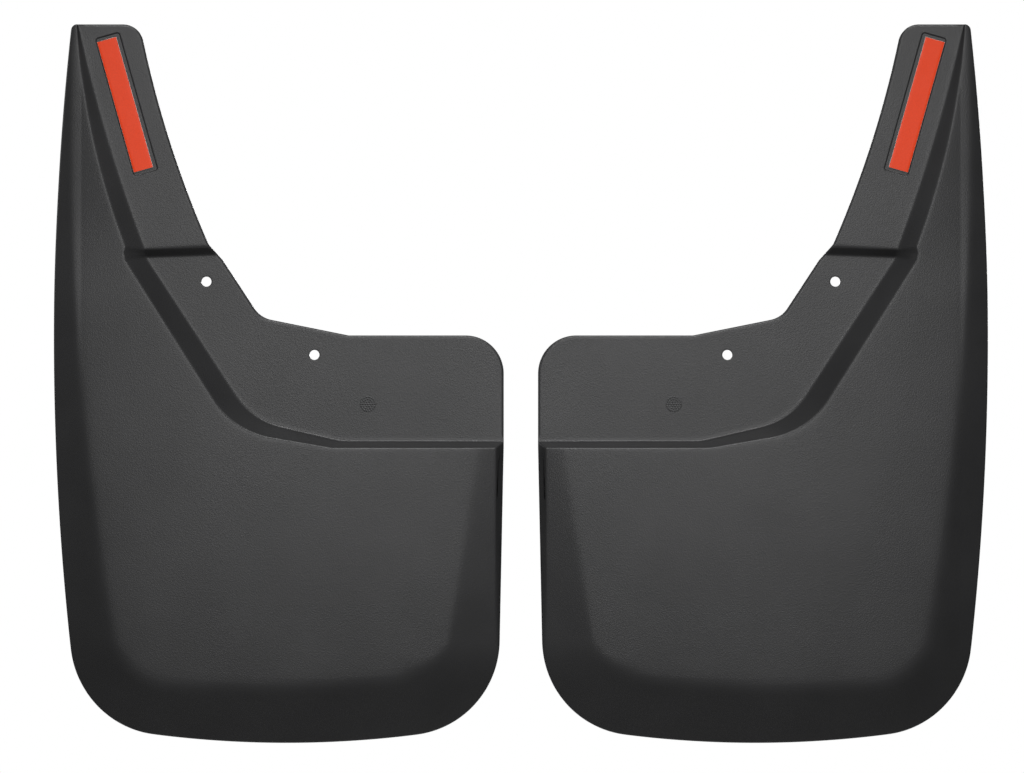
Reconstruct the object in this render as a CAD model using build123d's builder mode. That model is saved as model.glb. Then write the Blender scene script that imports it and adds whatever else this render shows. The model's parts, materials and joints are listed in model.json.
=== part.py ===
from build123d import *
from math import radians, tan
import os

# A pair of moulded mud guards for the rear wheels of a pickup truck.
# The frame of a guard has its origin midway between the two bolt holes, on the
# face of the fixing flange.  X runs across the truck, Z is up, and the viewer
# behind the truck looks along +Y, so a height above the flange is a negative Y.
# Every (x, z) pair below is a point seen from behind the truck.

# ---- Wall and overall size of one guard ------------------------------------
wall = 3.0
guard_width = 353.5
guard_height = 566.0
outboard_x = -162.0
top_z = 231.0
pair_gap = 27.0

inboard_x = outboard_x + guard_width
bottom_z = top_z - guard_height
mirror_x = inboard_x + pair_gap / 2

# ---- Outline ---------------------------------------------------------------
arm_top_inset = 14.0
arm_top_width = 53.5
arm_outer_radius = 5.0
arm_inner_radius = 16.0
arm_inner_bow = 5.0
jog_top = (-40.5, 58.0)
jog_foot = (-29.5, 45.5)
neck = (0.0, 0.5)
neck_radius = 21.0
flange_top_z = -13.5
flange_slope_end_x = 69.5
flange_corner_radius = 30.0
skirt_inset = 4.5
foot_inset = 19.0
bottom_bow = 16.5
outboard_bow = 16.5
bottom_corner_radius = 80.0

# ---- Flange and arm pad ----------------------------------------------------
arm_rise = 6.0
arm_ramp_z = 48.0
arm_ramp_angle = 45.0

# ---- Wall between the flange and the raised panel --------------------------
# Feet lie on the flange plane and crests lie step_rise in front of it.
step_rise = 30.0
step_sink = 30.0
step_far = 60.0
arm_top_foot = (-140.5, 241.0)
arm_mid_foot = (-113.0, 131.0)
arm_low_foot = (-88.0, 58.5)
brace_top_foot = (-90.0, 46.5)
brace_low_foot = (-31.0, -44.0)
bend_mid_foot = (-16.5, -67.0)
bend_low_foot = (6.5, -83.5)
sill_start_foot = (63.5, -97.0)
arm_top_crest = (-162.5, 236.0)
arm_mid_crest = (-133.0, 125.0)
arm_low_crest = (-107.5, 51.0)
brace_top_crest = (-104.5, 37.5)
brace_low_crest = (-49.0, -55.0)
bend_mid_crest = (-27.5, -79.0)
bend_low_crest = (1.5, -96.0)
sill_start_crest = (62.0, -105.5)
sill_foot_z = -97.0
sill_crest_z = -112.5
step_angle = 58.0

# ---- Raised panel and its bevels -------------------------------------------
panel_height = 18.5
panel_tilt = 2.5
bevel_depth = 36.0
outboard_slope = 34.0
bottom_slope = 33.0
inboard_slope_top = 8.0
inboard_slope_foot = 26.0
crease_top_in = 14.0
crease_top_z = 235.0
crease_foot_in = 51.0
crease_outboard_bow = 14.0
crease_bottom_up = 49.0
crease_bottom_bow = 8.5
crease_inboard_top_in = 18.5
crease_inboard_foot_in = 47.0
crease_outboard_radius = 35.0
crease_inboard_radius = 50.0
crease_far_z = 260.0
crease_round = 12.0
tip_start_z = 110.0
tip_slope = 8.6
rim_slope = 64.0

# ---- Fixings and tape ------------------------------------------------------
# The pocket is cut round the tape, with a gap at its outer, inner and end sides.
hole_diameter = 7.9
hole_reach_x = 42.5
hole_reach_z = 28.85
tape_width = 15.9
tape_length = 106.7
tape_lean = 15.8
tape_x = -106.2
tape_z = 167.8
foam_thickness = 1.1
liner_thickness = 0.2
pocket_outer_gap = 0.25
pocket_inner_gap = 2.85
pocket_end_gap = 2.65
pocket_depth = 0.8
pocket_radius = 2.0

pocket_width = pocket_outer_gap + tape_width + pocket_inner_gap
pocket_length = tape_length + 2 * pocket_end_gap
pocket_shift = (pocket_inner_gap - pocket_outer_gap) / 2

# ---- Derived values --------------------------------------------------------
arm_top_x = outboard_x + arm_top_inset
skirt_foot = (inboard_x - skirt_inset, bottom_z + bottom_bow)
heel_foot = (outboard_x + foot_inset, bottom_z + bottom_bow)
blank_depth = step_rise + bevel_depth
far_x = inboard_x + step_far
far_z = bottom_z - step_far
step_fold = tan(radians(step_angle / 2))
bevel_fold = tan(radians(outboard_slope / 2))

flange_plane = Plane.XZ
tilt_run = tan(radians(panel_tilt))
panel_plane = Plane(
    origin=(0, -panel_height, 0), x_dir=(1, tilt_run, 0), z_dir=(tilt_run, -1, 0)
)


def outline_prism():
    """Everything inside the outline of a guard, seen along the mould's pull."""
    arm_top = (arm_top_x, top_z)
    arm_shoulder = (arm_top_x + arm_top_width, top_z)
    neck_top = (flange_slope_end_x, flange_top_z)
    flange_corner = (inboard_x, flange_top_z)
    rounded = [
        (arm_top, arm_outer_radius),
        (arm_shoulder, arm_inner_radius),
        (neck, neck_radius),
        (flange_corner, flange_corner_radius),
        (skirt_foot, bottom_corner_radius),
        (heel_foot, bottom_corner_radius),
    ]
    with BuildPart() as prism:
        with BuildSketch(flange_plane.offset(-blank_depth / 2)):
            with BuildLine():
                Line(arm_top, arm_shoulder)
                SagittaArc(arm_shoulder, jog_top, -arm_inner_bow)
                Polyline(jog_top, jog_foot, neck, neck_top, flange_corner)
                Polyline(flange_corner, (inboard_x, sill_foot_z), skirt_foot)
                SagittaArc(skirt_foot, heel_foot, bottom_bow)
                SagittaArc(heel_foot, arm_top, outboard_bow)
            make_face()
            for point, radius in rounded:
                fillet(vertices().sort_by_distance(point)[0], radius)
        extrude(amount=blank_depth)
    return prism.part


def step_point(foot, crest, height):
    """Where one station of the step wall stands at a height above the flange."""
    part = height / step_rise
    return (
        foot[0] + (crest[0] - foot[0]) * part,
        foot[1] + (crest[1] - foot[1]) * part,
    )


def step_sketch(height, inset):
    """The plan of the block behind the step wall at one height, moved in by inset."""
    stations = [
        (arm_top_foot, arm_top_crest),
        (arm_mid_foot, arm_mid_crest),
        (arm_low_foot, arm_low_crest),
        (brace_top_foot, brace_top_crest),
        (brace_low_foot, brace_low_crest),
        (bend_mid_foot, bend_mid_crest),
        (bend_low_foot, bend_low_crest),
        (sill_start_foot, sill_start_crest),
        ((far_x, sill_foot_z), (far_x, sill_crest_z)),
    ]
    points = [step_point(foot, crest, height) for foot, crest in stations]
    far_corners = [(far_x, far_z), (-far_x, far_z), (-far_x, points[0][1])]
    with BuildSketch() as plan:
        with BuildLine():
            ThreePointArc(points[0], points[1], points[2])
            Polyline(points[2], points[3], points[4])
            ThreePointArc(points[4], points[5], points[6])
            Polyline(points[6], points[7], points[8], *far_corners, points[0])
        make_face()
        if inset:
            offset(amount=-inset, kind=Kind.INTERSECTION)
    return plan.sketch


def step_form(drop):
    """The block behind the sloping step wall, its skin moved in by drop."""
    with BuildPart() as form:
        for height in (-step_sink, step_rise):
            with BuildSketch(flange_plane.offset(height - drop)):
                add(step_sketch(height, drop * step_fold))
        loft(ruled=True)
    return form.part


def crease_sketch(depth):
    """The edge of the raised panel's front, spread along its bevels by depth."""
    out = depth / tan(radians(outboard_slope))
    down = depth / tan(radians(bottom_slope))
    in_top = depth / tan(radians(inboard_slope_top))
    in_foot = depth / tan(radians(inboard_slope_foot))
    far_left = (outboard_x + crease_top_in - out, crease_far_z)
    crease_top = (outboard_x + crease_top_in - out, crease_top_z)
    foot_z = bottom_z + crease_bottom_up - down
    heel = (outboard_x + crease_foot_in - out, foot_z)
    skirt = (inboard_x - crease_inboard_foot_in + in_foot, foot_z)
    sill = (inboard_x - crease_inboard_top_in + in_top, sill_foot_z)
    far_right = (inboard_x + in_top, crease_far_z)
    with BuildSketch() as crease:
        with BuildLine():
            Line(far_right, far_left)
            Line(far_left, crease_top)
            SagittaArc(crease_top, heel, -crease_outboard_bow)
            SagittaArc(heel, skirt, -crease_bottom_bow)
            Polyline(skirt, sill, far_right)
        make_face()
        fillet(vertices().sort_by_distance(heel)[0], crease_outboard_radius + down)
        fillet(vertices().sort_by_distance(skirt)[0], crease_inboard_radius + down)
    return crease.sketch


def bevel_form(drop):
    """The block behind the panel's front and bevels, its skin moved in by drop."""
    with BuildPart() as form:
        for depth in (0, bevel_depth):
            with BuildSketch(panel_plane.offset(-depth - drop)):
                add(crease_sketch(depth))
                if drop:
                    offset(amount=-drop * bevel_fold, kind=Kind.INTERSECTION)
        loft(ruled=True)
        front = faces().sort_by(Axis(panel_plane.origin, panel_plane.z_dir))[-1]
        fillet(front.edges(), crease_round - drop)
    return form.part


def panel_form(drop):
    """The raised panel as a solid, its skin moved in by drop."""
    tip = Plane(
        origin=panel_plane.from_local_coords((0, tip_start_z, 0)),
        x_dir=panel_plane.x_dir,
        z_dir=panel_plane.z_dir.rotate(Axis.X, -tip_slope),
    )
    edge = Vector(-skirt_inset, 0, skirt_foot[1] - sill_foot_z).normalized()
    lean = Vector(-1, -tan(radians(rim_slope)), 0)
    rim = Plane(origin=(inboard_x, 0, sill_foot_z), x_dir=edge, z_dir=lean.cross(edge))
    with BuildPart() as form:
        add(bevel_form(drop))
        add(step_form(drop), mode=Mode.INTERSECT)
        split(bisect_by=tip.offset(-drop), keep=Keep.BOTTOM)
        split(bisect_by=rim.offset(-drop), keep=Keep.BOTTOM)
    return form.part


def flange_profile(front, depth):
    """The stepped band of the flange and the arm pad, swept across the guard."""
    fold = tan(radians(arm_ramp_angle / 2))
    low = arm_ramp_z - front * fold
    high = low + arm_rise / tan(radians(arm_ramp_angle))
    with BuildPart() as band:
        with BuildSketch(Plane.YZ.offset(-far_x)):
            with BuildLine():
                Polyline(
                    (-front, far_z),
                    (-front, low),
                    (-front - arm_rise, high),
                    (-front - arm_rise, crease_far_z),
                    (-front - arm_rise + depth, crease_far_z),
                    (-front - arm_rise + depth, high + depth * fold),
                    (-front + depth, low + depth * fold),
                    (-front + depth, far_z),
                    close=True,
                )
            make_face()
        extrude(amount=2 * far_x)
    return band.part


def hollow_plan(level):
    """The plan of the hollow behind the step wall at one height, full depth."""
    with BuildPart() as prism:
        with BuildSketch(flange_plane.offset(-blank_depth)):
            add(step_sketch(level + wall, wall * step_fold))
        extrude(amount=2 * blank_depth)
    return prism.part


def guard_shell():
    """One guard without its pocket and holes: flange, step wall and panel."""
    with BuildPart() as hollow:
        add(panel_form(wall))
    with BuildPart() as under:
        add(flange_profile(-wall, blank_depth))
        add(hollow_plan(arm_rise - wall), mode=Mode.SUBTRACT)
    with BuildPart() as raised:
        add(panel_form(0))
        add(hollow.part, mode=Mode.SUBTRACT)
        add(under.part, mode=Mode.SUBTRACT)
    with BuildPart() as shell:
        add(flange_profile(0, wall))
        add(step_form(wall), mode=Mode.SUBTRACT)
        add(raised.part)
        add(outline_prism(), mode=Mode.INTERSECT)
    return shell.part


arm_plane = flange_plane.offset(arm_rise)
pocket_floor = arm_plane.offset(-pocket_depth)
tape_place = Location((tape_x, tape_z), tape_lean)

# ---- Left guard ------------------------------------------------------------
with BuildPart() as left_guard:
    add(guard_shell())
    with BuildSketch(pocket_floor):
        with Locations(tape_place * Location((pocket_shift, 0))):
            RectangleRounded(pocket_width, pocket_length, pocket_radius)
    extrude(amount=wall, mode=Mode.SUBTRACT)
    with BuildSketch(flange_plane):
        with Locations((-hole_reach_x, hole_reach_z), (hole_reach_x, -hole_reach_z)):
            Circle(hole_diameter / 2)
    extrude(amount=wall, both=True, mode=Mode.SUBTRACT)

# ---- Left foam tape, stuck in the pocket of the arm pad --------------------
with BuildPart() as left_foam:
    with BuildSketch(pocket_floor):
        with Locations(tape_place):
            Rectangle(tape_width, tape_length)
    extrude(amount=foam_thickness)

# ---- Left liner, the film that covers the tape until it is fitted ----------
with BuildPart() as left_liner:
    with BuildSketch(pocket_floor.offset(foam_thickness)):
        with Locations(tape_place):
            Rectangle(tape_width, tape_length)
    extrude(amount=liner_thickness)

# ---- Right side, the mirror image ------------------------------------------
mirror_plane = Plane.YZ.offset(mirror_x)

with BuildPart() as right_guard:
    mirror(left_guard.part, about=mirror_plane)

with BuildPart() as right_foam:
    mirror(left_foam.part, about=mirror_plane)

with BuildPart() as right_liner:
    mirror(left_liner.part, about=mirror_plane)

# ---- Export ----------------------------------------------------------------
left_guard.part.label = "left_guard"
left_foam.part.label = "left_foam"
left_liner.part.label = "left_liner"
right_guard.part.label = "right_guard"
right_foam.part.label = "right_foam"
right_liner.part.label = "right_liner"

os.makedirs("parts", exist_ok=True)
export_step(left_guard.part, "parts/left_guard.step")
export_step(left_foam.part, "parts/left_foam.step")
export_step(left_liner.part, "parts/left_liner.step")
export_step(right_guard.part, "parts/right_guard.step")
export_step(right_foam.part, "parts/right_foam.step")
export_step(right_liner.part, "parts/right_liner.step")
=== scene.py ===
"""A pair of moulded mud guards for a pickup's rear wheels, with their tape strips.

All shapes are worked out in millimetres in the plane of the fixing flange, as
(x, z) points with a height h towards the viewer, and are written to the meshes in
metres, where the viewer's side is -Y.
"""

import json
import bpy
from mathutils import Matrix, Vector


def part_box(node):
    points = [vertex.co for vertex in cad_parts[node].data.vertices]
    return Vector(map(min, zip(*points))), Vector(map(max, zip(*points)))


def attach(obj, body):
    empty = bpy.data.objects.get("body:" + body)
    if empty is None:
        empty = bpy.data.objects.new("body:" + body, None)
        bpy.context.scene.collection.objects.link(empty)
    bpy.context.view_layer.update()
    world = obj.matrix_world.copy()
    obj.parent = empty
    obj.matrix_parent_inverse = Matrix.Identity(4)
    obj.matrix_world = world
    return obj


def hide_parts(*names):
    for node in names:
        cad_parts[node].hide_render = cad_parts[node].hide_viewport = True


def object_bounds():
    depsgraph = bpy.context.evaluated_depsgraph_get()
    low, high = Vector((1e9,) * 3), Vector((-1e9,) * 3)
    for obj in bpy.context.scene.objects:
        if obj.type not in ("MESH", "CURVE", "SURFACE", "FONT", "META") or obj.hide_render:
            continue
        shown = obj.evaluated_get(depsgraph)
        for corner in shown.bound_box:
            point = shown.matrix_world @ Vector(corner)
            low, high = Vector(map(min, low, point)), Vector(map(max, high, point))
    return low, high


bl_info = {
    "name": "Moulded Mud Guards",
    "version": (1, 0, 0),
    "blender": (4, 5, 0),
    "location": "View3D > Sidebar > Mud Guards",
    "description": "Builds a pair of moulded mud guards with tape strips and a studio",
    "category": "Add Mesh",
}

from math import cos, radians, sin, tan

import bpy
import numpy as np
from mathutils import Vector

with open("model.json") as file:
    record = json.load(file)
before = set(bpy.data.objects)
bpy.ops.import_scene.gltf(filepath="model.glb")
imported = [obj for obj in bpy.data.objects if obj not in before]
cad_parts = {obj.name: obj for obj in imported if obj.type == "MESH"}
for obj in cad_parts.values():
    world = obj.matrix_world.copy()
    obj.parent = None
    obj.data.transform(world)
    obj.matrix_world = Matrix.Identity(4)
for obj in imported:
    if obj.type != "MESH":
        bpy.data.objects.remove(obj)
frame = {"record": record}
CAD_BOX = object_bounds()

MM = 0.001
LEFT_LOW, LEFT_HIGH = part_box("left_guard")
RIGHT_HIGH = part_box("right_guard")[1]
LINER_LOW, LINER_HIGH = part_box("left_liner")
OUTBOARD_X = LEFT_LOW.x / MM
INBOARD_X = LEFT_HIGH.x / MM
TOP_Z = LEFT_HIGH.z / MM
BOTTOM_Z = LEFT_LOW.z / MM
PAIR_X = (LEFT_LOW.x + RIGHT_HIGH.x) / MM
MOUNTS = {mount["name"]: mount for mount in frame["record"]["mounts"]}
SIDES = ("left", "right")

# Metres: the middle of the view, and the floor.
VIEW_X = 0.198
VIEW_Z = -0.0537
FLOOR_Z = -1.5
FLOOR_RADIUS = 10
LIGHT_SPREAD = radians(50)


# ---- Sizes and colours a user may change -----------------------------------
class GuardSizes(bpy.types.PropertyGroup):
    """Sizes of the moulded guards."""

    wall: bpy.props.FloatProperty(
        name="Wall",
        description="Thickness of the moulded sheet",
        default=0.003,
        min=0.001,
        max=0.006,
        precision=4,
        unit="LENGTH",
        subtype="DISTANCE",
    )
    panel_height: bpy.props.FloatProperty(
        name="Panel height",
        description="How far the raised panel stands in front of the flange",
        default=0.0185,
        min=0.01,
        max=0.03,
        precision=4,
        unit="LENGTH",
        subtype="DISTANCE",
    )
    panel_tilt: bpy.props.FloatProperty(
        name="Panel tilt",
        description="How much the panel falls back towards its inboard side",
        default=radians(2.5),
        unit="ROTATION",
        subtype="ANGLE",
    )
    arm_rise: bpy.props.FloatProperty(
        name="Arm pad rise",
        description="How far the arm pad stands in front of the flange",
        default=0.006,
        min=0.0,
        max=0.01,
        precision=4,
        unit="LENGTH",
        subtype="DISTANCE",
    )
    outboard_slope: bpy.props.FloatProperty(
        name="Outboard bevel",
        description="Slope of the bevel along the outboard edge",
        default=radians(34),
        unit="ROTATION",
        subtype="ANGLE",
    )
    bottom_slope: bpy.props.FloatProperty(
        name="Bottom bevel",
        description="Slope of the bevel along the bottom edge",
        default=radians(33),
        unit="ROTATION",
        subtype="ANGLE",
    )
    edge_radius: bpy.props.FloatProperty(
        name="Edge radius",
        description="Rounding of the moulding's outer edges",
        default=0.0012,
        min=0.0002,
        max=0.0014,
        precision=5,
        unit="LENGTH",
        subtype="DISTANCE",
    )
    hole_diameter: bpy.props.FloatProperty(
        name="Bolt hole",
        description="Diameter of the two bolt holes",
        default=0.0079,
        min=0.004,
        max=0.012,
        precision=4,
        unit="LENGTH",
        subtype="DISTANCE",
    )


class TapeSizes(bpy.types.PropertyGroup):
    """Sizes of the tape strip and of the pocket it lies in."""

    width: bpy.props.FloatProperty(
        name="Tape width",
        description="Width of the foam tape",
        default=0.0159,
        precision=4,
        unit="LENGTH",
        subtype="DISTANCE",
    )
    length: bpy.props.FloatProperty(
        name="Tape length",
        description="Length of the foam tape",
        default=0.1067,
        precision=4,
        unit="LENGTH",
        subtype="DISTANCE",
    )
    lean: bpy.props.FloatProperty(
        name="Lean",
        description="How far the tape leans from upright",
        default=radians(15.8),
        unit="ROTATION",
        subtype="ANGLE",
    )
    foam_thickness: bpy.props.FloatProperty(
        name="Foam thickness",
        description="Thickness of the foam tape",
        default=0.0011,
        precision=5,
        unit="LENGTH",
        subtype="DISTANCE",
    )
    liner_thickness: bpy.props.FloatProperty(
        name="Liner thickness",
        description="Thickness of the film over the tape",
        default=0.0002,
        precision=5,
        unit="LENGTH",
        subtype="DISTANCE",
    )
    pocket_depth: bpy.props.FloatProperty(
        name="Pocket depth",
        description="Depth of the pocket moulded round the tape",
        default=0.0008,
        precision=5,
        unit="LENGTH",
        subtype="DISTANCE",
    )


class Finishes(bpy.types.PropertyGroup):
    """Colours and surface finish of the materials."""

    plastic_colour: bpy.props.FloatVectorProperty(
        name="Plastic",
        description="Colour of the moulded plastic",
        default=(0.0152, 0.0152, 0.0156, 1.0),
        size=4,
        min=0.0,
        max=1.0,
        subtype="COLOR",
    )
    plastic_roughness: bpy.props.FloatProperty(
        name="Plastic roughness",
        description="Roughness of the moulded plastic",
        default=0.37,
        min=0.0,
        max=1.0,
        subtype="FACTOR",
    )
    grain_size: bpy.props.FloatProperty(
        name="Grain size",
        description="Size of the mould's leather-like grain",
        default=0.0009,
        precision=5,
        unit="LENGTH",
        subtype="DISTANCE",
    )
    foam_colour: bpy.props.FloatVectorProperty(
        name="Foam",
        description="Colour of the foam tape",
        default=(0.34, 0.34, 0.33, 1.0),
        size=4,
        min=0.0,
        max=1.0,
        subtype="COLOR",
    )
    liner_colour: bpy.props.FloatVectorProperty(
        name="Liner",
        description="Colour of the film over the tape",
        default=(0.375, 0.025, 0.003, 1.0),
        size=4,
        min=0.0,
        max=1.0,
        subtype="COLOR",
    )


class StudioSettings(bpy.types.PropertyGroup):
    """Camera distance and strength of the studio lights."""

    camera_distance: bpy.props.FloatProperty(
        name="Camera distance",
        description="Distance of the camera in front of the flange",
        default=5.0,
        unit="LENGTH",
        subtype="DISTANCE",
    )
    view_width: bpy.props.FloatProperty(
        name="View width",
        description="Width of the view at the flange",
        default=0.8059,
        precision=4,
        unit="LENGTH",
        subtype="DISTANCE",
    )
    front_power: bpy.props.FloatProperty(
        name="Front light",
        description="Power of the soft light in front",
        default=6.6,
        unit="POWER",
        subtype="POWER",
    )
    fill_power: bpy.props.FloatProperty(
        name="Fill light",
        description="Power of the wide, weak light in front",
        default=1.6,
        unit="POWER",
        subtype="POWER",
    )
    top_power: bpy.props.FloatProperty(
        name="Top light",
        description="Power of the light above the middle of the pair",
        default=7.5,
        unit="POWER",
        subtype="POWER",
    )


# ---- Lines of the guard ----------------------------------------------------
def rounded_path(corners, radii, bows, steps=500):
    """Bowed edges between corners, joined by round corners, as a dense line.

    An edge from P to Q with bow b is P + (Q - P) t + 4 b t (1 - t) n, a shallow
    parabola whose middle stands b to the left of its chord, n being the chord's
    left normal.  A corner of radius R takes R tan(turn / 2) off both its edges.
    Its arc is the rational quadratic curve between the cut ends, steered by the
    point where their tangents meet and weighted by the cosine of half the turn.
    Returns the points and the length of line up to each.
    """
    corners = np.array(corners, float)
    chords = np.diff(corners, axis=0)
    lengths = np.linalg.norm(chords, axis=1)
    normals = np.stack((-chords[:, 1], chords[:, 0]), 1) / lengths[:, None]
    bows = np.array(bows, float)

    def edge(k, t):
        t = np.asarray(t, float)[..., None]
        return corners[k] + chords[k] * t + 4 * bows[k] * t * (1 - t) * normals[k]

    def tangent(k, t):
        run = chords[k] + 4 * bows[k] * (1 - 2 * t) * normals[k]
        return run / np.linalg.norm(run)

    count = len(chords)
    first = np.zeros(count)
    last = np.ones(count)
    for k in range(1, count):
        turn = np.arccos(np.clip(tangent(k - 1, 1) @ tangent(k, 0), -1, 1))
        cut = radii[k - 1] * tan(turn / 2)
        last[k - 1] = 1 - cut / lengths[k - 1]
        first[k] = cut / lengths[k]
    runs = []
    for k in range(count):
        runs.append(edge(k, np.linspace(first[k], last[k], steps)))
        if k + 1 < count and radii[k] > 0:
            start, end = edge(k, last[k]), edge(k + 1, first[k + 1])
            ahead, behind = tangent(k, last[k]), tangent(k + 1, first[k + 1])
            reach = np.linalg.solve(np.stack((ahead, behind), 1), end - start)
            middle = start + ahead * reach[0]
            weight = np.sqrt((1 + ahead @ behind) / 2)
            t = np.linspace(0, 1, 60)[:, None]
            share = (1 - t) ** 2, 2 * weight * t * (1 - t), t**2
            runs.append(
                (share[0] * start + share[1] * middle + share[2] * end) / sum(share)
            )
    points = np.concatenate(runs)
    travel = np.linalg.norm(np.diff(points, axis=0), axis=1)
    return points, np.concatenate(([0.0], np.cumsum(travel)))


def along(path, distance):
    """Points of a path at distances along it, by straight interpolation."""
    points, travelled = path
    return np.stack(
        [np.interp(distance, travelled, points[:, k]) for k in range(2)], -1
    )


def nearest(path, stations):
    """Distances along a path of the points nearest the given stations."""
    points, travelled = path
    gap = points[None] - np.array(stations, float)[:, None]
    return travelled[np.argmin((gap**2).sum(-1), axis=1)]


def inward(path, distance, side):
    """Unit normals of a path at distances along it, on its left (1) or right (-1)."""
    run = along(path, distance + 0.6) - along(path, distance - 0.6)
    run /= np.linalg.norm(run, axis=1)[:, None] + 1e-9
    return side * np.stack((-run[:, 1], run[:, 0]), 1)


TIP = (-143.5, TOP_Z)
SILL_END = (INBOARD_X, -97.0)
CREST_END = (INBOARD_X, -101.4)
ARM_TOP = (OUTBOARD_X + 14, TOP_Z)
HEEL = (OUTBOARD_X + 19, BOTTOM_Z + 16.5)
SKIRT_INSET = 4.5
SKIRT = (INBOARD_X - SKIRT_INSET, BOTTOM_Z + 16.5)

# The edge of the flange and the arm's inner side, from the tip to the sill's end.
FLANGE_EDGE = rounded_path(
    [
        TIP,
        (-94.5, TOP_Z),
        (-40.5, 58.0),
        (-29.5, 45.5),
        (0.0, 0.5),
        (69.5, -13.5),
        (INBOARD_X, -13.5),
        SILL_END,
    ],
    (16, 0, 0, 21, 0, 30),
    (0, -5, 0, 0, 0, 0, 0),
)
# The foot and the crest of the wall between the flange and the raised panel.
WALL_FOOT = rounded_path(
    [TIP, (-92.0, 56.0), (-90.0, 46.5), (-7.3, -80.3), (63.5, -97.0), SILL_END],
    (0, 0, 60, 40),
    (-3.3, 0, 0, 0, 0),
)
WALL_CREST = rounded_path(
    [
        TIP,
        (-104.6, 56.2),
        (-105.8, 51.3),
        (-104.6, 45.4),
        (-19.6, -88.5),
        (57.0, -101.4),
        CREST_END,
    ],
    (0, 0, 0, 65, 30),
    (-6.8, 0, 0, 0, 0, 0),
)
# The panel's free edge, from the tip down the outboard side and round to the sill.
PANEL_EDGE = rounded_path(
    [TIP, ARM_TOP, HEEL, SKIRT, CREST_END],
    (5, 80, 80),
    (0, -16.5, -16.5, 0),
)

# Points that lie opposite one another on the four lines, and the lines between.
STATIONS = (
    (TIP, TIP, TIP, TIP),
    ((-112, 231), (-137, 215), (-142, 212), (-150.5, 215)),
    ((-90.5, 212), (-135, 205), (-141, 203), (-152, 200)),
    ((-39.2, 57.3), (-92.4, 55.1), (-105.2, 57.6), (-160, 10)),
    ((-32.4, 48.9), (-90.2, 46.9), (-104.0, 44.2), (-161, -10)),
    ((0, 0.5), (-31, -44), (-47, -46), (-158, -225)),
    ((69.5, -13.5), (6, -84), (-15, -87), (-125, -305)),
    ((110, -13.5), (63.5, -97), (57, -101.4), (30, -335)),
    ((175, -18), (140, -97), (140, -101.4), (150, -318)),
    ((INBOARD_X, -50), (176, -97), (176, -101.4), (188, -240)),
    (SILL_END, SILL_END, CREST_END, CREST_END),
)
LINES = (22, 14, 92, 14, 88, 44, 60, 54, 44, 40)


def cross_lines():
    """The ends and bends of every line that crosses the guard from edge to edge.

    The stations share the lines out, and between two stations each of the four
    lines is divided evenly.
    """
    paths = (FLANGE_EDGE, WALL_FOOT, WALL_CREST, PANEL_EDGE)
    turns = np.cumsum((0,) + LINES)
    every = np.arange(turns[-1] + 1)
    travel = []
    for k, path in enumerate(paths):
        marks = nearest(path, [station[k] for station in STATIONS])
        marks[-1] = path[1][-1]
        travel.append(np.interp(every, turns, np.maximum.accumulate(marks)))
    return paths, travel


# ---- Heights of the guard's faces ------------------------------------------
def soft_plus(value, blend):
    """Zero below zero and the value above it, with the bend rounded over blend."""
    return 0.5 * (value + np.sqrt(value**2 + blend**2))


def soft_least(a, b, blend):
    """The lesser of two heights, with the bend between them rounded over blend."""
    return 0.5 * (a + b - np.sqrt((a - b) ** 2 + blend**2))


def soft_most(a, b, blend):
    """The greater of two heights, with the bend between them rounded over blend."""
    return 0.5 * (a + b + np.sqrt((a - b) ** 2 + blend**2))


def round_most(a, b, radius):
    """The greater of two falls, joined by a round corner of that radius."""
    a, b = a + radius, b + radius
    outside = np.sqrt(np.maximum(a, 0) ** 2 + np.maximum(b, 0) ** 2)
    return outside + np.minimum(np.maximum(a, b), 0) - radius


# The ramp's foot passes through this point and climbs inboard by this slope.
RAMP_X, RAMP_Z = -90, 48.2
RAMP_CLIMB = 0.0365
RAMP_BLEND = 0.5


def flange_height(points, sizes):
    """Zero on the flange, rising at 45 degrees to the arm pad.

    The ramp starts at a line that climbs slightly inboard, and both of its bends
    are rounded.
    """
    rise = sizes.arm_rise / MM
    start = points[..., 1] - (RAMP_Z + (points[..., 0] - RAMP_X) * RAMP_CLIMB)
    return soft_plus(start, RAMP_BLEND) - soft_plus(start - rise, RAMP_BLEND)


def edge_distance(points, start, end, bow):
    """How far points lie to the left of a bowed edge, and how far along it.

    The distance from the chord is lessened by the bow's parabola 4 b t (1 - t).
    """
    start, chord = np.array(start, float), np.subtract(end, start)
    length = np.linalg.norm(chord)
    run = (points - start) @ chord / length**2
    off = (points - start) @ np.array((-chord[1], chord[0])) / length
    share = np.clip(run, 0, 1)
    return off - 4 * bow * share * (1 - share), run


# The crown of the panel's flat: its rise, where it falls away from and how fast.
CROWN_RISE = 3.0
CROWN_X, CROWN_Z = 60, -120
CROWN_REACH = 200
CROWN_BEND_X, CROWN_BEND_Z = 2.4e-4, 1.1e-4

# The fall of the panel's tip, the share of it that starts below, and its outboard
# side's.  Each is rounded in over its own blend.
TIP_FALL = radians(2.0)
TIP_FALL_Z, TIP_FALL_BLEND = 110, 24
SIDE_FALL = radians(4.5)
SIDE_FALL_X, SIDE_FALL_BLEND = -84, 12
SIDE_FALL_Z, SIDE_FALL_RUN = 10, 110

# Corners and bows of the creases where the bevels begin.
BEVEL_TOP = (OUTBOARD_X + 14, 235)
BEVEL_HEEL = (OUTBOARD_X + 51, BOTTOM_Z + 49)
BEVEL_SKIRT = (INBOARD_X - 47, BOTTOM_Z + 54.5)
BEVEL_SILL = (INBOARD_X - 18.5, -97)
OUTBOARD_BOW, BOTTOM_BOW = -14, -8.5
INBOARD_STEEP, INBOARD_GENTLE = radians(17), radians(6)
HEEL_RADIUS, SKIRT_RADIUS = 24, 16
CREASE_SHARP, CREASE_EXTRA = 0.45, 1.6


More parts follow.
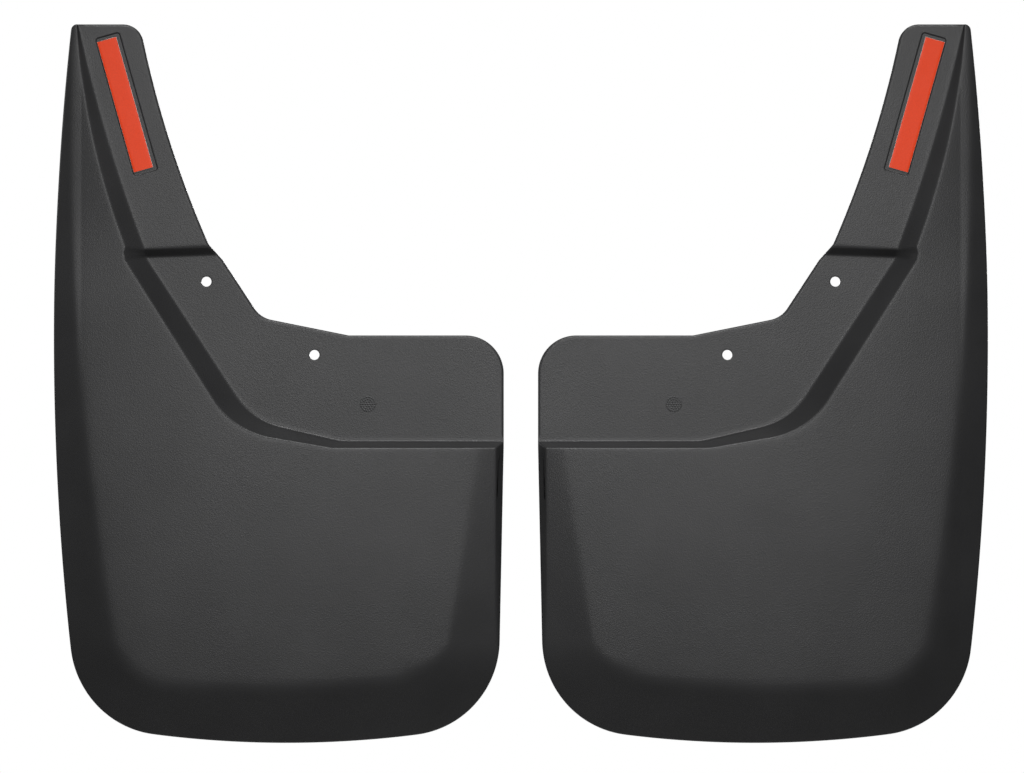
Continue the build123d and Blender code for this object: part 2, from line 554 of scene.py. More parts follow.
def panel_height(points, sizes):
    """The raised panel: a tilted flat, less the fall of its tip and its bevels.

    The flat is slightly crowned: outboard of CROWN_X and below CROWN_Z it falls
    away as the square of the distance.  The tip falls above its start, and more
    steeply towards its outboard side.  Each bevel falls in proportion to the
    distance outside its crease.  The outboard and bottom falls meet in a round
    corner, and so do the bottom and inboard falls.  The crease is rounded, and
    less so along the gentle inboard fall: its blend goes down to CREASE_SHARP by
    the logistic curve of the falls' difference.
    """
    x, z = points[..., 0], points[..., 1]
    flat = sizes.panel_height / MM + CROWN_RISE - x * tan(sizes.panel_tilt)
    flat = flat - CROWN_BEND_X * np.clip(CROWN_X - x, 0, CROWN_REACH) ** 2
    flat = flat - CROWN_BEND_Z * np.clip(CROWN_Z - z, 0, None) ** 2
    tip = tan(TIP_FALL) * soft_plus(z - TIP_FALL_Z, TIP_FALL_BLEND)
    side = tan(SIDE_FALL) * soft_plus(SIDE_FALL_X - x, SIDE_FALL_BLEND)
    share = np.clip((z - SIDE_FALL_Z) / SIDE_FALL_RUN, 0, 1)
    tip = tip + side * share**2 * (3 - 2 * share)
    outboard, _ = edge_distance(points, BEVEL_TOP, BEVEL_HEEL, OUTBOARD_BOW)
    bottom, _ = edge_distance(points, BEVEL_HEEL, BEVEL_SKIRT, BOTTOM_BOW)
    inboard, run = edge_distance(points, BEVEL_SKIRT, BEVEL_SILL, 0)
    run = np.clip(run, -0.1, 1.2)
    spread = 1 / tan(INBOARD_STEEP) * (1 - run) + 1 / tan(INBOARD_GENTLE) * run
    out_fall = -outboard * tan(sizes.outboard_slope)
    low_fall = -bottom * tan(sizes.bottom_slope)
    in_fall = -inboard / spread
    fall = round_most(out_fall, low_fall, HEEL_RADIUS)
    steep = 1 / (1 + np.exp(np.clip((in_fall - fall) / 1.5, -30, 30)))
    fall = round_most(fall, in_fall, SKIRT_RADIUS)
    return flat - tip - soft_plus(fall, CREASE_SHARP + CREASE_EXTRA * steep)


def panel_steepness(points, sizes):
    """Length of the panel's slope per unit of plan, from differences 1 mm apart."""
    step = np.array((0.5, 0.0))
    across = panel_height(points + step, sizes) - panel_height(points - step, sizes)
    up = panel_height(points + step[::-1], sizes)
    up = up - panel_height(points - step[::-1], sizes)
    return np.sqrt(1 + across**2 + up**2)


RIM_SLOPE = radians(64)
RIM_START = 0.3


def rim_height(points):
    """The steep inboard rim, rising from the inboard edge."""
    fall = np.clip(SILL_END[1] - points[..., 1], 0, None)
    edge = INBOARD_X - SKIRT_INSET * fall / (SILL_END[1] - SKIRT[1])
    return (edge - points[..., 0]) * tan(RIM_SLOPE) + RIM_START


# Rows of each face from the flange's edge to the panel's: the rounded lip, the
# flange, the wall, the panel and the rounded strip at its edge.
LIP = np.array((0.0, 0.12, 0.4, 1.0))
LIP_SPREAD = 1.6
BAND_ROWS = 20
WALL_ROWS = 8
PANEL_ROWS = 54
STRIP = np.array((0.25, 0.55, 0.8, 0.94, 1.0))
FOOT_ROW = len(LIP) - 1 + BAND_ROWS
CREST_ROW = FOOT_ROW + WALL_ROWS
BAND_STEP, FOLD_STEP = 0.8, 0.5

# Width of the strip at the panel's edge, and how much wider it is along the rim
# above RIM_LOW_Z, where it widens over RIM_FADE.
STRIP_WIDTH, RIM_STRIP_EXTRA = 1.4, 3.4
RIM_LOW_Z, RIM_FADE = -285, 12

# How far each bend between two faces is rounded.
FOOT_BLEND, CREST_BLEND, RIM_BLEND = 0.8, 1.0, 0.9


def eased_rows(start, end, rows, first):
    """Rows of points from start to end, closer together near both ends.

    A share w of even spacing is mixed with the curve 3 v^2 - 2 v^3, and w is
    chosen so that the first and last steps are about first long.
    """
    v = np.linspace(0, 1, rows + 1)[None, 1:, None]
    length = np.linalg.norm(end - start, axis=1)[:, None, None]
    even = np.clip(first * rows / (length + 1e-9), 0, 1)
    share = even * v + (1 - even) * (3 * v**2 - 2 * v**3)
    return start[:, None] + (end - start)[:, None] * share


def distance_from(rows, origin):
    """Length from an origin on each line to that line's points."""
    return np.linalg.norm(rows - origin[:, None], axis=2)


def guard_sheet(sizes, depth):
    """Plan points and heights of one face of the sheet: depth 0 in front.

    On each crossing line the flange F, the wall W and the panel P are planes or
    near-planes.  W starts at F's height at the foot and reaches P's height at the
    crest.  The face is the least of P and of the greatest of F and W.  At the back
    each plane is moved in by the sheet's depth measured square to it, and the foot
    and crest move towards the panel by depth times the tangent of half the fold.
    """
    paths, travel = cross_lines()
    a, b, c, e = (along(path, distance) for path, distance in zip(paths, travel))
    wall_run = np.linalg.norm(c - b, axis=1)
    across = (c - b) / (wall_run[:, None] + 1e-9)
    foot = flange_height(b, sizes)
    slope = np.maximum(panel_height(c, sizes) - foot, 0) / (wall_run + 0.3)
    fold = depth * np.tan(np.arctan(slope) / 2) * np.clip(wall_run / 3, 0, 1)
    fold[-1] = 0
    b2, c2 = b + across * fold[:, None], c + across * fold[:, None]

    radius = sizes.edge_radius / MM
    lip = np.minimum(LIP_SPREAD * radius, 0.25 * np.linalg.norm(a - b, axis=1))
    a2 = a + inward(FLANGE_EDGE, travel[0], -1) * lip[:, None]
    on_rim = np.clip((e[:, 1] - RIM_LOW_Z) / RIM_FADE, 0, 1)
    on_rim = np.where(e[:, 0] > INBOARD_X - 12, on_rim, 0)
    strip = STRIP_WIDTH + RIM_STRIP_EXTRA * on_rim
    strip = np.minimum(strip, 0.4 * np.linalg.norm(c2 - e, axis=1))
    d = e + inward(PANEL_EDGE, travel[3], 1) * strip[:, None]

    edge = a[:, None] + (a2 - a)[:, None] * LIP[None, :, None]
    band = eased_rows(a2, b2, BAND_ROWS, BAND_STEP)
    wall = eased_rows(b2, c2, WALL_ROWS, FOLD_STEP)
    panel = eased_rows(c2, d, PANEL_ROWS, FOLD_STEP)
    verge = d[:, None] + (e - d)[:, None] * STRIP[None, :, None]
    plan = np.concatenate((edge, band, wall, panel, verge), 1)

    wall_run = np.linalg.norm(c2 - b2, axis=1)[:, None]
    run = fold[:, None] + np.concatenate(
        (
            -distance_from(plan[:, :FOOT_ROW], b2),
            distance_from(plan[:, FOOT_ROW : CREST_ROW + 1], b2),
            wall_run + distance_from(plan[:, CREST_ROW + 1 :], c2),
        ),
        1,
    )
    flange = flange_height(plan, sizes) - depth
    rise = slope[:, None]
    wall = foot[:, None] + rise * run - depth * np.sqrt(1 + rise**2)
    panel = panel_height(plan, sizes) - depth * panel_steepness(plan, sizes)
    rim = rim_height(plan) - depth / cos(RIM_SLOPE)
    height = soft_most(flange, wall, FOOT_BLEND)
    raised = soft_least(height, soft_least(panel, rim, RIM_BLEND), CREST_BLEND)
    height[:, FOOT_ROW:] = raised[:, FOOT_ROW:]

    gap = np.full(height.shape, radius)
    gap[:, : len(LIP)] = lip[:, None] * LIP / LIP_SPREAD
    gap[:, -len(STRIP) :] = strip[:, None] * (1 - STRIP)
    short = np.minimum(gap / radius, 1)
    drop = radius * (1 - np.sqrt(1 - (1 - short) ** 2))
    height = height - drop if depth == 0 else height + drop
    height[0] = height[0, 0]
    height[-1, :FOOT_ROW] = height[-1, FOOT_ROW]
    height[-1, CREST_ROW:] = height[-1, CREST_ROW]
    return plan, height


# ---- Openings, pockets and marks -------------------------------------------
# Where one hole lies from the middle of the two, and where the date mark lies.
BOLT_REACH = (42.5, -28.85)
DATE_MARK = (84.6, -67.5)

# Gaps between the tape and its pocket, and the radius of the pocket's corners.
POCKET_INNER_GAP = 2.85
POCKET_OUTER_GAP = 0.25
POCKET_END_GAP = 2.65
POCKET_CORNER = 2.0

# The rings of a lip, outermost first: how far out of the outline and how deep.
HOLE_RINGS = ((1.3, 0.0), (0.35, 0.0), (0.1, 0.1), (0.0, 0.35))
POCKET_RINGS = ((1.2, 0.0), (0.85, 0.0), (0.5, 0.07), (0.2, 0.26), (0.0, 0.6))
POCKET_FLOOR_RINGS = (0.0, -0.4)

# How far the cleared block of cells reaches past an outline.
HOLE_MARGIN = 2.4
POCKET_MARGIN = 1.6


def block_loop(low, high):
    """Rows and columns of the grid points round a block of cells, in order."""
    down = np.arange(low[0], high[0])
    over = np.arange(low[1], high[1])
    rows = np.concatenate(
        (down, np.full(len(over), high[0]), down[::-1] + 1, np.full(len(over), low[0]))
    )
    columns = np.concatenate(
        (np.full(len(down), low[1]), over, np.full(len(down), high[1]), over[::-1] + 1)
    )
    return rows, columns


def block_round(plan, inside):
    """The smallest block of cells that holds the marked points, plus one cell."""
    rows, columns = np.nonzero(inside)
    low = (rows.min() - 1, max(columns.min() - 1, len(LIP)))
    high = (rows.max() + 1, min(columns.max() + 1, FOOT_ROW - 2))
    rows, columns = block_loop(low, high)
    loop = plan[rows, columns]
    turn = loop[:, 0] * np.roll(loop[:, 1], -1) - np.roll(loop[:, 0], -1) * loop[:, 1]
    if turn.sum() < 0:
        rows, columns = rows[::-1], columns[::-1]
    return low, high, rows, columns


def ring_quads(outer, inner):
    """Quads between two rings of indices, facing the viewer if the inner is inside."""
    return np.stack((outer, np.roll(outer, -1), np.roll(inner, -1), inner), 1)


def hole_rings(loop, centre, radius):
    """Rings from a block's loop down to a hole's lip: plan points and drops.

    Each ring's angles are the mean of the loop's own and of even ones.  The lip
    is a quarter round.
    """
    off = loop - centre
    angle = np.unwrap(np.arctan2(off[:, 1], off[:, 0]))
    even = np.arange(len(angle)) * 2 * np.pi / len(angle)
    even += (angle - even).mean()
    angle = 0.5 * (angle + even)
    ray = np.stack((np.cos(angle), np.sin(angle)), 1)
    return [(centre + ray * (radius + out), drop) for out, drop in HOLE_RINGS]


def tape_place(tape):
    """The tape's centre, and its directions across and along."""
    middle = (LINER_LOW + LINER_HIGH) / (2 * MM)
    across = np.array((cos(tape.lean), sin(tape.lean)))
    upward = np.array((-sin(tape.lean), cos(tape.lean)))
    return np.array((middle.x, middle.z)), across, upward


def pocket_place(tape):
    """Centre, directions across and along, and half sizes of the tape's pocket.

    The pocket is wider than the tape by a gap on each side, and its centre moves
    inboard by half the difference of the gaps.
    """
    centre, across, upward = tape_place(tape)
    centre = centre + across * (POCKET_INNER_GAP - POCKET_OUTER_GAP) / 2
    half_width = (tape.width / MM + POCKET_INNER_GAP + POCKET_OUTER_GAP) / 2
    half_length = tape.length / MM / 2 + POCKET_END_GAP
    return centre, across, upward, np.array((half_width, half_length))


def pocket_outline(points, tape, out):
    """The nearest points of the pocket's rounded outline, moved out by out.

    In the pocket's own directions the point is clipped to the core left inside
    the corner radius, and the outline lies one radius from the core.
    """
    centre, across, upward, half = pocket_place(tape)
    local = np.stack(((points - centre) @ across, (points - centre) @ upward), -1)
    core = np.clip(local, POCKET_CORNER - half, half - POCKET_CORNER)
    ray = local - core
    ray /= np.linalg.norm(ray, axis=-1)[..., None] + 1e-9
    local = core + ray * (POCKET_CORNER + out)
    return centre + local[..., :1] * across + local[..., 1:] * upward


def within_pocket(points, tape, margin):
    """True for points inside the pocket's outline widened by a margin."""
    centre, across, upward, half = pocket_place(tape)
    off = np.abs(np.stack(((points - centre) @ across, (points - centre) @ upward), -1))
    return (off < half + margin).all(-1)


def date_mark(centre):
    """A small raised disc with three rings of dots round a centre dot.

    Its height is 0.1 plus a round bump for each dot: the distance to the nearest
    dot of a ring comes from the radius and from the angle left over after
    division by the dots' spacing.
    """
    rings = np.concatenate((np.linspace(0.05, 6.3, 44), (6.45, 6.5, 6.5)))
    angle = np.linspace(0, 2 * np.pi, 145)[:-1]
    radius, turn = np.meshgrid(rings, angle, indexing="ij")
    height = 0.1 + 0.2 * np.exp(-((radius / 0.5) ** 4))
    for ring, dots in ((2.0, 6), (3.8, 12), (5.5, 18)):
        spacing = 2 * np.pi / dots
        off = ((turn / spacing + 0.5) % 1 - 0.5) * spacing * ring
        near = np.hypot(radius - ring, off)
        height = height + 0.2 * np.exp(-((near / 0.5) ** 4))
    height[-2] = 0.05
    height[-1] = -0.4
    points = np.stack(
        (centre[0] + radius * np.cos(turn), -height, centre[1] + radius * np.sin(turn)),
        -1,
    )
    count = len(angle)
    index = np.arange(points.shape[0] * count).reshape(points.shape[:2])
    quads = [ring_quads(index[k + 1], index[k]) for k in range(len(rings) - 1)]
    return points.reshape(-1, 3), np.concatenate(quads), [index[0], index[-1][::-1]]


# ---- Meshes ----------------------------------------------------------------
def weld(points, quads, fans):
    """Joins points in the same place and turns quads that lost a side to triangles."""
    _, first, joined = np.unique(
        np.round(points, 4), axis=0, return_index=True, return_inverse=True
    )
    joined = joined.reshape(-1)
    quads = joined[quads]
    same = quads == np.roll(quads, -1, axis=1)
    lost = same.sum(1)
    threes = quads[lost == 1][~same[lost == 1]].reshape(-1, 3)
    faces = quads[lost == 0].tolist() + threes.tolist()
    faces += [joined[fan].tolist() for fan in fans]
    return points[first], faces


def add_piece(name, side, points, faces, body, replaced, material):
    """Makes a smooth mesh piece that rides on a body and stands for a CAD node.

    The right-hand piece is the left one with x turned into the pair's width less
    x, and its faces turned over.
    """
    points = points.copy()
    if side == "right":
        points[:, 0] = PAIR_X - points[:, 0]
        faces = [face[::-1] for face in faces]
    mesh = bpy.data.meshes.new(name)
    mesh.from_pydata((points * MM).tolist(), [], faces)
    mesh.validate()
    mesh.polygons.foreach_set("use_smooth", np.ones(len(mesh.polygons), bool))
    mesh.materials.append(material)
    mesh.update()
    piece = bpy.data.objects.new(name, mesh)
    bpy.context.scene.collection.objects.link(piece)
    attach(piece, body)
    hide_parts(replaced)
    return piece


def guard_mesh(sizes, tape):
    """The whole closed sheet of the left guard: points, and faces turned outwards."""
    plan, front = guard_sheet(sizes, 0.0)
    back_plan, back = guard_sheet(sizes, sizes.wall / MM)
    shape = front.shape
    index = np.arange(front.size).reshape(shape)
    behind = index + front.size

    kept = np.ones((shape[0] - 1, shape[1] - 1), bool)
    kept_behind = kept.copy()
    points = [
        np.stack((plan[..., 0], -front, plan[..., 1]), -1).reshape(-1, 3),
        np.stack((back_plan[..., 0], -back, back_plan[..., 1]), -1).reshape(-1, 3),
    ]
    total = 2 * front.size
    quads = []
    fans = []

    def add_ring(ring, height):
        nonlocal total
        points.append(
            np.stack((ring[:, 0], np.broadcast_to(-height, len(ring)), ring[:, 1]), 1)
        )
        total += len(ring)
        return np.arange(total - len(ring), total)

    bolt = np.array(BOLT_REACH)
    bolt *= MOUNTS["left_bolts"]["dims"]["pcd_mm"] / 2 / np.linalg.norm(bolt)
    for centre in (-bolt, bolt):
        radius = sizes.hole_diameter / MM / 2
        inside = np.linalg.norm(plan - centre, axis=-1) < radius + HOLE_MARGIN
        low, high, rows, columns = block_round(plan, inside)
        kept[low[0] : high[0], low[1] : high[1]] = False
        kept_behind[low[0] : high[0], low[1] : high[1]] = False
        chain = [index[rows, columns]]
        levels = hole_rings(plan[rows, columns], centre, radius)
        deep = -sizes.wall / MM
        chain += [add_ring(ring, -drop) for ring, drop in levels]
        chain += [add_ring(ring, deep + drop) for ring, drop in levels[::-1]]
        chain.append(behind[rows, columns])
        quads += [ring_quads(a, b) for a, b in zip(chain, chain[1:])]

    inside = within_pocket(plan, tape, POCKET_MARGIN)
    inside[:, FOOT_ROW - 2 :] = False
    low, high, rows, columns = block_round(plan, inside)
    kept[low[0] : high[0], low[1] : high[1]] = False
    loop = plan[rows, columns]
    top = sizes.arm_rise / MM
    floor = top - tape.pocket_depth / MM
    chain = [index[rows, columns]]
    for out, drop in POCKET_RINGS:
        chain.append(add_ring(pocket_outline(loop, tape, out), top - drop))
    for out in POCKET_FLOOR_RINGS:
        chain.append(add_ring(pocket_outline(loop, tape, out), floor))
    quads += [ring_quads(a, b) for a, b in zip(chain, chain[1:])]
    fans.append(chain[-1])

    quads.append(grid_quads(index)[kept.reshape(-1)])
    quads.append(grid_quads(behind)[kept_behind.reshape(-1)][:, ::-1])
    for line, deep_line in (
        (index[:, 0], behind[:, 0]),
        (index[::-1, -1], behind[::-1, -1]),
        (index[-1, :], behind[-1, :]),
    ):
        quads.append(
            np.stack((line[:-1], line[1:], deep_line[1:], deep_line[:-1]), 1)
        )

    mark_points, mark_quads, mark_fans = date_mark(DATE_MARK)
    quads.append(mark_quads + total)
    fans += [fan + total for fan in mark_fans]
    points.append(mark_points)
    return weld(np.concatenate(points), np.concatenate(quads), fans)


def grid_quads(index):
    """Quads of a grid of indices, facing the viewer on the left guard's front."""
    return np.stack(
        (index[:-1, :-1], index[:-1, 1:], index[1:, 1:], index[1:, :-1]), -1
    ).reshape(-1, 4)


# Distances of a strip's end rows from its end, and the rows between its ends.
END_ROWS = np.array((0.0, 0.02, 0.08, 0.2, 0.45, 1.0, 2.0))
MIDDLE_ROWS, MIDDLE_START = 56, 4


def strip_mesh(place, half, low, high, edge, lift):
    """A thin rounded strip: a closed profile across it carried along its length.

    The profile is a flat lozenge whose sides are half rounds of radius edge.  The
    strip's ends draw in by the same rounding, and lift raises it near its ends by
    lift times the fourth power of the share of the half length.
    """
    centre, across, upward = place
    turn = np.linspace(-np.pi / 2, np.pi / 2, 7)
    side = half[0] - edge + edge * np.cos(turn)
    level = (low + high) / 2 + (high - low) / 2 * np.sin(turn)
    flat = np.linspace(-1, 1, 9)[1:-1] * (half[0] - edge)
    u = np.concatenate((side, flat[::-1], -side[::-1], flat))
    top, bottom = np.full(len(flat), high), np.full(len(flat), low)
    h = np.concatenate((level, top, level[::-1], bottom))
    reach = half[1] - MIDDLE_START
    run = np.linspace(-reach, reach, MIDDLE_ROWS)
    run = np.concatenate((-half[1] + END_ROWS, run, half[1] - END_ROWS[::-1]))
    short = np.clip((half[1] - np.abs(run)) / edge, 0, 1)
    pull = np.sqrt(1 - (1 - short) ** 2)
    middle = (low + high) / 2
    height = middle + (h[None] - middle) * np.maximum(pull, 0.05)[:, None]
    height += lift * (np.abs(run) / half[1])[:, None] ** 4
    wide = u[None] * (1 - 0.4 * edge / half[0] * (1 - pull[:, None]))
    spot = centre + wide[..., None] * across + run[:, None, None] * upward
    points = np.stack((spot[..., 0], -height, spot[..., 1]), -1)
    index = np.arange(height.size).reshape(height.shape)
    quads = [ring_quads(a, b) for a, b in zip(index, index[1:])]
    quads = np.concatenate(quads)[:, ::-1]
    return points.reshape(-1, 3), quads, [index[0], index[-1][::-1]]


# ---- Materials -------------------------------------------------------------
def new_material(name):
    """A material with a single principled shader: returns both and a node maker."""
    material = bpy.data.materials.new(name)
    material.use_nodes = True
    tree = material.node_tree
    shader = tree.nodes["Principled BSDF"]

    def node(kind, links=(), **values):
        made = tree.nodes.new(kind)
        for key, value in values.items():
            if key in made.inputs:
                made.inputs[key].default_value = value
            else:
                setattr(made, key, value)
        for target, source in links:
            tree.links.new(source, made.inputs[target])
        return made

    return material, shader, node, tree.links.new


def plastic_material(finish):
    """Black moulded plastic: a leather-like grain over a faint, slow unevenness."""
    found = bpy.data.materials.get("moulded_plastic")
    if found:
        return found
    material, shader, node, link = new_material("moulded_plastic")
    place = node("ShaderNodeTexCoord").outputs["Object"]
    cells = node(
        "ShaderNodeTexVoronoi",
        [("Vector", place)],
        feature="SMOOTH_F1",
        Scale=1 / finish.grain_size,
        Smoothness=0.6,
    )
    fine = node(
        "ShaderNodeTexNoise",
        [("Vector", place)],
        Scale=1.7 / finish.grain_size,
        Detail=4.0,
        Roughness=0.6,
    )
    slow = node(
        "ShaderNodeTexNoise", [("Vector", place)], Scale=18.0, Detail=3.0, Roughness=0.5
    )
    grain = node(
        "ShaderNodeMath",
        [(0, cells.outputs["Distance"]), (1, fine.outputs["Fac"])],
        operation="ADD",
    )
    bump = node(
        "ShaderNodeBump",
        [("Height", grain.outputs["Value"])],
        Strength=0.5,
        Distance=0.00014,
    )
    link(bump.outputs["Normal"], shader.inputs["Normal"])
    tone = node("ShaderNodeValToRGB", [("Fac", slow.outputs["Fac"])])
    base = np.array(finish.plastic_colour)
    tone.color_ramp.elements[0].position = 0.3
    tone.color_ramp.elements[1].position = 0.7
    tone.color_ramp.elements[0].color = (*(base[:3] * 0.9), 1)
    tone.color_ramp.elements[1].color = (*(base[:3] * 1.1), 1)
    link(tone.outputs["Color"], shader.inputs["Base Color"])
    rough = node(
        "ShaderNodeMapRange",
        [("Value", fine.outputs["Fac"])],
        **{
            "From Min": 0.3,
            "From Max": 0.7,
            "To Min": finish.plastic_roughness - 0.04,
            "To Max": finish.plastic_roughness + 0.05,
        },
    )
    link(rough.outputs["Result"], shader.inputs["Roughness"])
    shader.inputs["Specular IOR Level"].default_value = 0.155
    return material


def foam_material(finish):
    """Pale closed-cell foam: fine cells and a matt face."""
    found = bpy.data.materials.get("closed_cell_foam")
    if found:
        return found
    material, shader, node, link = new_material("closed_cell_foam")
    place = node("ShaderNodeTexCoord").outputs["Object"]
    cells = node("ShaderNodeTexVoronoi", [("Vector", place)], Scale=2600.0)
    bump = node(
        "ShaderNodeBump",
        [("Height", cells.outputs["Distance"])],
        Strength=0.5,
        Distance=0.0001,
    )
    link(bump.outputs["Normal"], shader.inputs["Normal"])
    tone = node("ShaderNodeValToRGB", [("Fac", cells.outputs["Distance"])])
    base = np.array(finish.foam_colour)
    tone.color_ramp.elements[0].color = (*(base[:3] * 0.75), 1)
    tone.color_ramp.elements[1].color = tuple(base)
    link(tone.outputs["Color"], shader.inputs["Base Color"])
    shader.inputs["Roughness"].default_value = 0.85
    return material


def liner_material(finish):
    """Smooth coloured film: soft gloss with faint long ripples and a fine mottle."""
    found = bpy.data.materials.get("liner_film")
    if found:
        return found
    material, shader, node, link = new_material("liner_film")
    place = node("ShaderNodeTexCoord").outputs["Object"]
    ripple = node(
        "ShaderNodeTexNoise", [("Vector", place)], Scale=70.0, Detail=2.0, Roughness=0.4
    )
    bump = node(
        "ShaderNodeBump",
        [("Height", ripple.outputs["Fac"])],
        Strength=0.3,
        Distance=0.0006,
    )
    link(bump.outputs["Normal"], shader.inputs["Normal"])
    mottle = node(
        "ShaderNodeTexNoise", [("Vector", place)], Scale=900.0, Detail=2.0
    )
    tone = node("ShaderNodeValToRGB", [("Fac", mottle.outputs["Fac"])])
    base = np.array(finish.liner_colour)
    tone.color_ramp.elements[0].position = 0.3
    tone.color_ramp.elements[1].position = 0.7
    tone.color_ramp.elements[0].color = (*(base[:3] * 0.94), 1)
    tone.color_ramp.elements[1].color = (*np.minimum(base[:3] * 1.06, 1), 1)
    link(tone.outputs["Color"], shader.inputs["Base Color"])
    shader.inputs["Roughness"].default_value = 0.38
    shader.inputs["Specular IOR Level"].default_value = 0.08
    return material


# ---- Operators -------------------------------------------------------------
FOAM_EDGE = 0.25
LINER_EDGE = 0.1
LINER_LIFT = 0.12
LINER_INSET = (0.22, 0.2)


class MUDGUARD_OT_guards(bpy.types.Operator):
    """Builds the two moulded guards"""

    bl_idname = "mudguard.guards"
    bl_label = "Moulded Guards"

    def execute(self, context):
        scene = context.scene
        points, faces = guard_mesh(scene.guard_sizes, scene.tape_sizes)
        material = plastic_material(scene.guard_finishes)
        for side in SIDES:
            add_piece(
                f"{side}_guard_moulding",
                side,
                points,
                faces,
                f"{side}_guard_body",
                f"{side}_guard",
                material,
            )
        return {"FINISHED"}


class MUDGUARD_OT_foam(bpy.types.Operator):
    """Builds the two foam tape strips"""

    bl_idname = "mudguard.foam"
    bl_label = "Foam Tape"

    def execute(self, context):
        scene = context.scene
        tape = scene.tape_sizes
        floor = (scene.guard_sizes.arm_rise - tape.pocket_depth) / MM
        half = (tape.width / MM / 2, tape.length / MM / 2)
        top = floor + tape.foam_thickness / MM
        mesh = strip_mesh(tape_place(tape), half, floor, top, FOAM_EDGE, 0)
        points, faces = weld(*mesh)
        for side in SIDES:
            strip = add_piece(
                f"{side}_foam_tape",
                side,
                points,
                faces,
                f"{side}_guard_body",
                f"{side}_foam",
                foam_material(scene.guard_finishes),
            )
        return {"FINISHED"}


class MUDGUARD_OT_liners(bpy.types.Operator):
    """Builds the films that cover the tape"""

    bl_idname = "mudguard.liners"
    bl_label = "Tape Liners"

    def execute(self, context):
        scene = context.scene
        tape = scene.tape_sizes
        sunk = tape.pocket_depth - tape.foam_thickness
        low = (scene.guard_sizes.arm_rise - sunk) / MM
        half = (
            tape.width / MM / 2 - LINER_INSET[0],
            tape.length / MM / 2 - LINER_INSET[1],
        )
        top = low + tape.liner_thickness / MM
        mesh = strip_mesh(tape_place(tape), half, low, top, LINER_EDGE, LINER_LIFT)
        points, faces = weld(*mesh)
        for side in SIDES:
            add_piece(
                f"{side}_liner_film",
                side,
                points,
                faces,
                f"{side}_liner_body",
                f"{side}_liner",
                liner_material(scene.guard_finishes),
            )
        return {"FINISHED"}


def area_light(name, place, target, size, power):
    """A soft rectangular light at a place, turned towards a target."""
    light = bpy.data.lights.new(name, "AREA")
    light.shape = "RECTANGLE"
    light.size, light.size_y = size
    light.energy = power
    light.spread = LIGHT_SPREAD
    lamp = bpy.data.objects.new(name, light)
    lamp.location = place
    lamp.visible_camera = False
    aim = Vector(target) - Vector(place)
    lamp.rotation_euler = aim.to_track_quat("-Z", "Y").to_euler()
    bpy.context.scene.collection.objects.link(lamp)
    return lamp


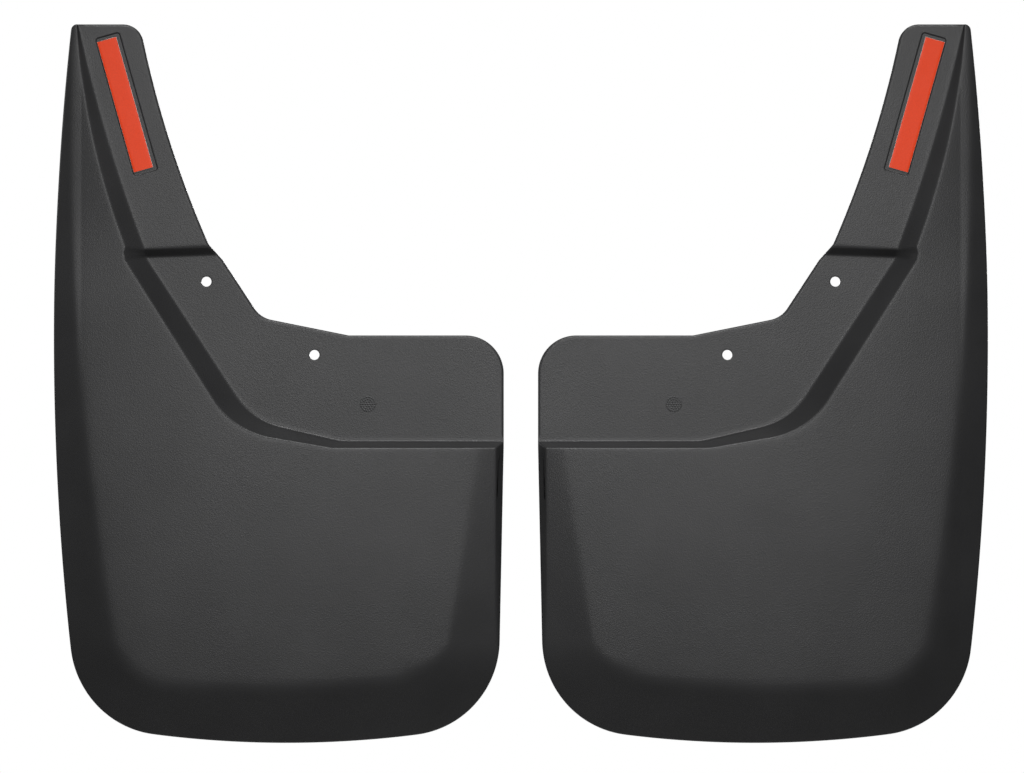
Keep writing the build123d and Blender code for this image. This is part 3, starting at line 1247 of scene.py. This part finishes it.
class MUDGUARD_OT_studio(bpy.types.Operator):
    """Builds the floor, the lights, the white surroundings and the camera"""

    bl_idname = "mudguard.studio"
    bl_label = "Studio"

    def execute(self, context):
        scene = context.scene
        studio = scene.guard_studio
        low, high = CAD_BOX
        centre = Vector(((low.x + high.x) / 2, 0.0, VIEW_Z))

        turn = np.linspace(0, 2 * np.pi, 97)[:-1]
        rim = np.stack((np.cos(turn), np.sin(turn)), 1) * FLOOR_RADIUS
        rim = np.column_stack((rim, np.full(len(turn), FLOOR_Z)))
        mesh = bpy.data.meshes.new("floor")
        mesh.from_pydata(rim.tolist(), [], [list(range(len(rim)))])
        floor = bpy.data.objects.new("floor", mesh)
        scene.collection.objects.link(floor)
        paint, shader, node, link = new_material("floor_paint")
        place = node("ShaderNodeTexCoord").outputs["Object"]
        cloud = node("ShaderNodeTexNoise", [("Vector", place)], Scale=1.5)
        tone = node("ShaderNodeValToRGB", [("Fac", cloud.outputs["Fac"])])
        tone.color_ramp.elements[0].color = (0.86, 0.86, 0.86, 1)
        tone.color_ramp.elements[1].color = (0.9, 0.9, 0.9, 1)
        link(tone.outputs["Color"], shader.inputs["Base Color"])
        shader.inputs["Roughness"].default_value = 0.9
        shader.inputs["Emission Color"].default_value = (1, 1, 1, 1)
        shader.inputs["Emission Strength"].default_value = 0.3
        mesh.materials.append(paint)

        world = bpy.data.worlds.new("white_surroundings")
        world.use_nodes = True
        sky = world.node_tree.nodes["Background"]
        sky.inputs["Color"].default_value = (1, 1, 1, 1)
        sky.inputs["Strength"].default_value = 1.0
        world.cycles_visibility.diffuse = False
        world.cycles_visibility.glossy = False
        scene.world = world
        scene.view_settings.view_transform = "Standard"

        front = centre + Vector((0, -4.0, 0.56))
        area_light("front_softbox", front, centre, (0.7, 0.8), studio.front_power)
        area_light("fill_softbox", front, centre, (3.0, 1.5), studio.fill_power)
        above = centre + Vector((0, -1.4, 1.5))
        area_light("top_softbox", above, centre, (1.2, 0.6), studio.top_power)
        for name, spot, power in (
            ("back_softbox", (0.5, 3.5, 0.6), 8.0),
            ("side_softbox", (-4.0, 1.2, 1.0), 3.0),
        ):
            area_light(name, centre + Vector(spot), centre, (1.6, 1.2), power)

        camera = bpy.data.cameras.new("camera")
        camera.sensor_width = 36.0
        camera.lens = camera.sensor_width * studio.camera_distance / studio.view_width
        viewer = bpy.data.objects.new("camera", camera)
        viewer.location = centre - Vector((0, studio.camera_distance, 0))
        viewer.location.x = VIEW_X
        viewer.rotation_euler = (radians(90), 0, 0)
        scene.collection.objects.link(viewer)
        scene.camera = viewer
        return {"FINISHED"}


class MUDGUARD_PT_panel(bpy.types.Panel):
    """Lists the steps that build the guards"""

    bl_label = "Mud Guards"
    bl_idname = "MUDGUARD_PT_panel"
    bl_space_type = "VIEW_3D"
    bl_region_type = "UI"
    bl_category = "Mud Guards"

    def draw(self, context):
        layout = self.layout
        for group in ("guard_sizes", "tape_sizes", "guard_finishes", "guard_studio"):
            box = layout.box()
            settings = getattr(context.scene, group)
            for name in settings.__annotations__:
                box.prop(settings, name)
        for operator in OPERATORS:
            layout.operator(operator.bl_idname)


GROUPS = {
    "guard_sizes": GuardSizes,
    "tape_sizes": TapeSizes,
    "guard_finishes": Finishes,
    "guard_studio": StudioSettings,
}
OPERATORS = (
    MUDGUARD_OT_guards,
    MUDGUARD_OT_foam,
    MUDGUARD_OT_liners,
    MUDGUARD_OT_studio,
)


def register():
    for name, group in GROUPS.items():
        bpy.utils.register_class(group)
        setattr(bpy.types.Scene, name, bpy.props.PointerProperty(type=group))
    for kind in (*OPERATORS, MUDGUARD_PT_panel):
        bpy.utils.register_class(kind)


def unregister():
    for kind in (MUDGUARD_PT_panel, *reversed(OPERATORS)):
        bpy.utils.unregister_class(kind)
    for name, group in reversed(GROUPS.items()):
        delattr(bpy.types.Scene, name)
        bpy.utils.unregister_class(group)


def main():
    register()
    bpy.ops.mudguard.guards()
    bpy.ops.mudguard.foam()
    bpy.ops.mudguard.liners()
    bpy.ops.mudguard.studio()


if __name__ == "__main__":
    main()
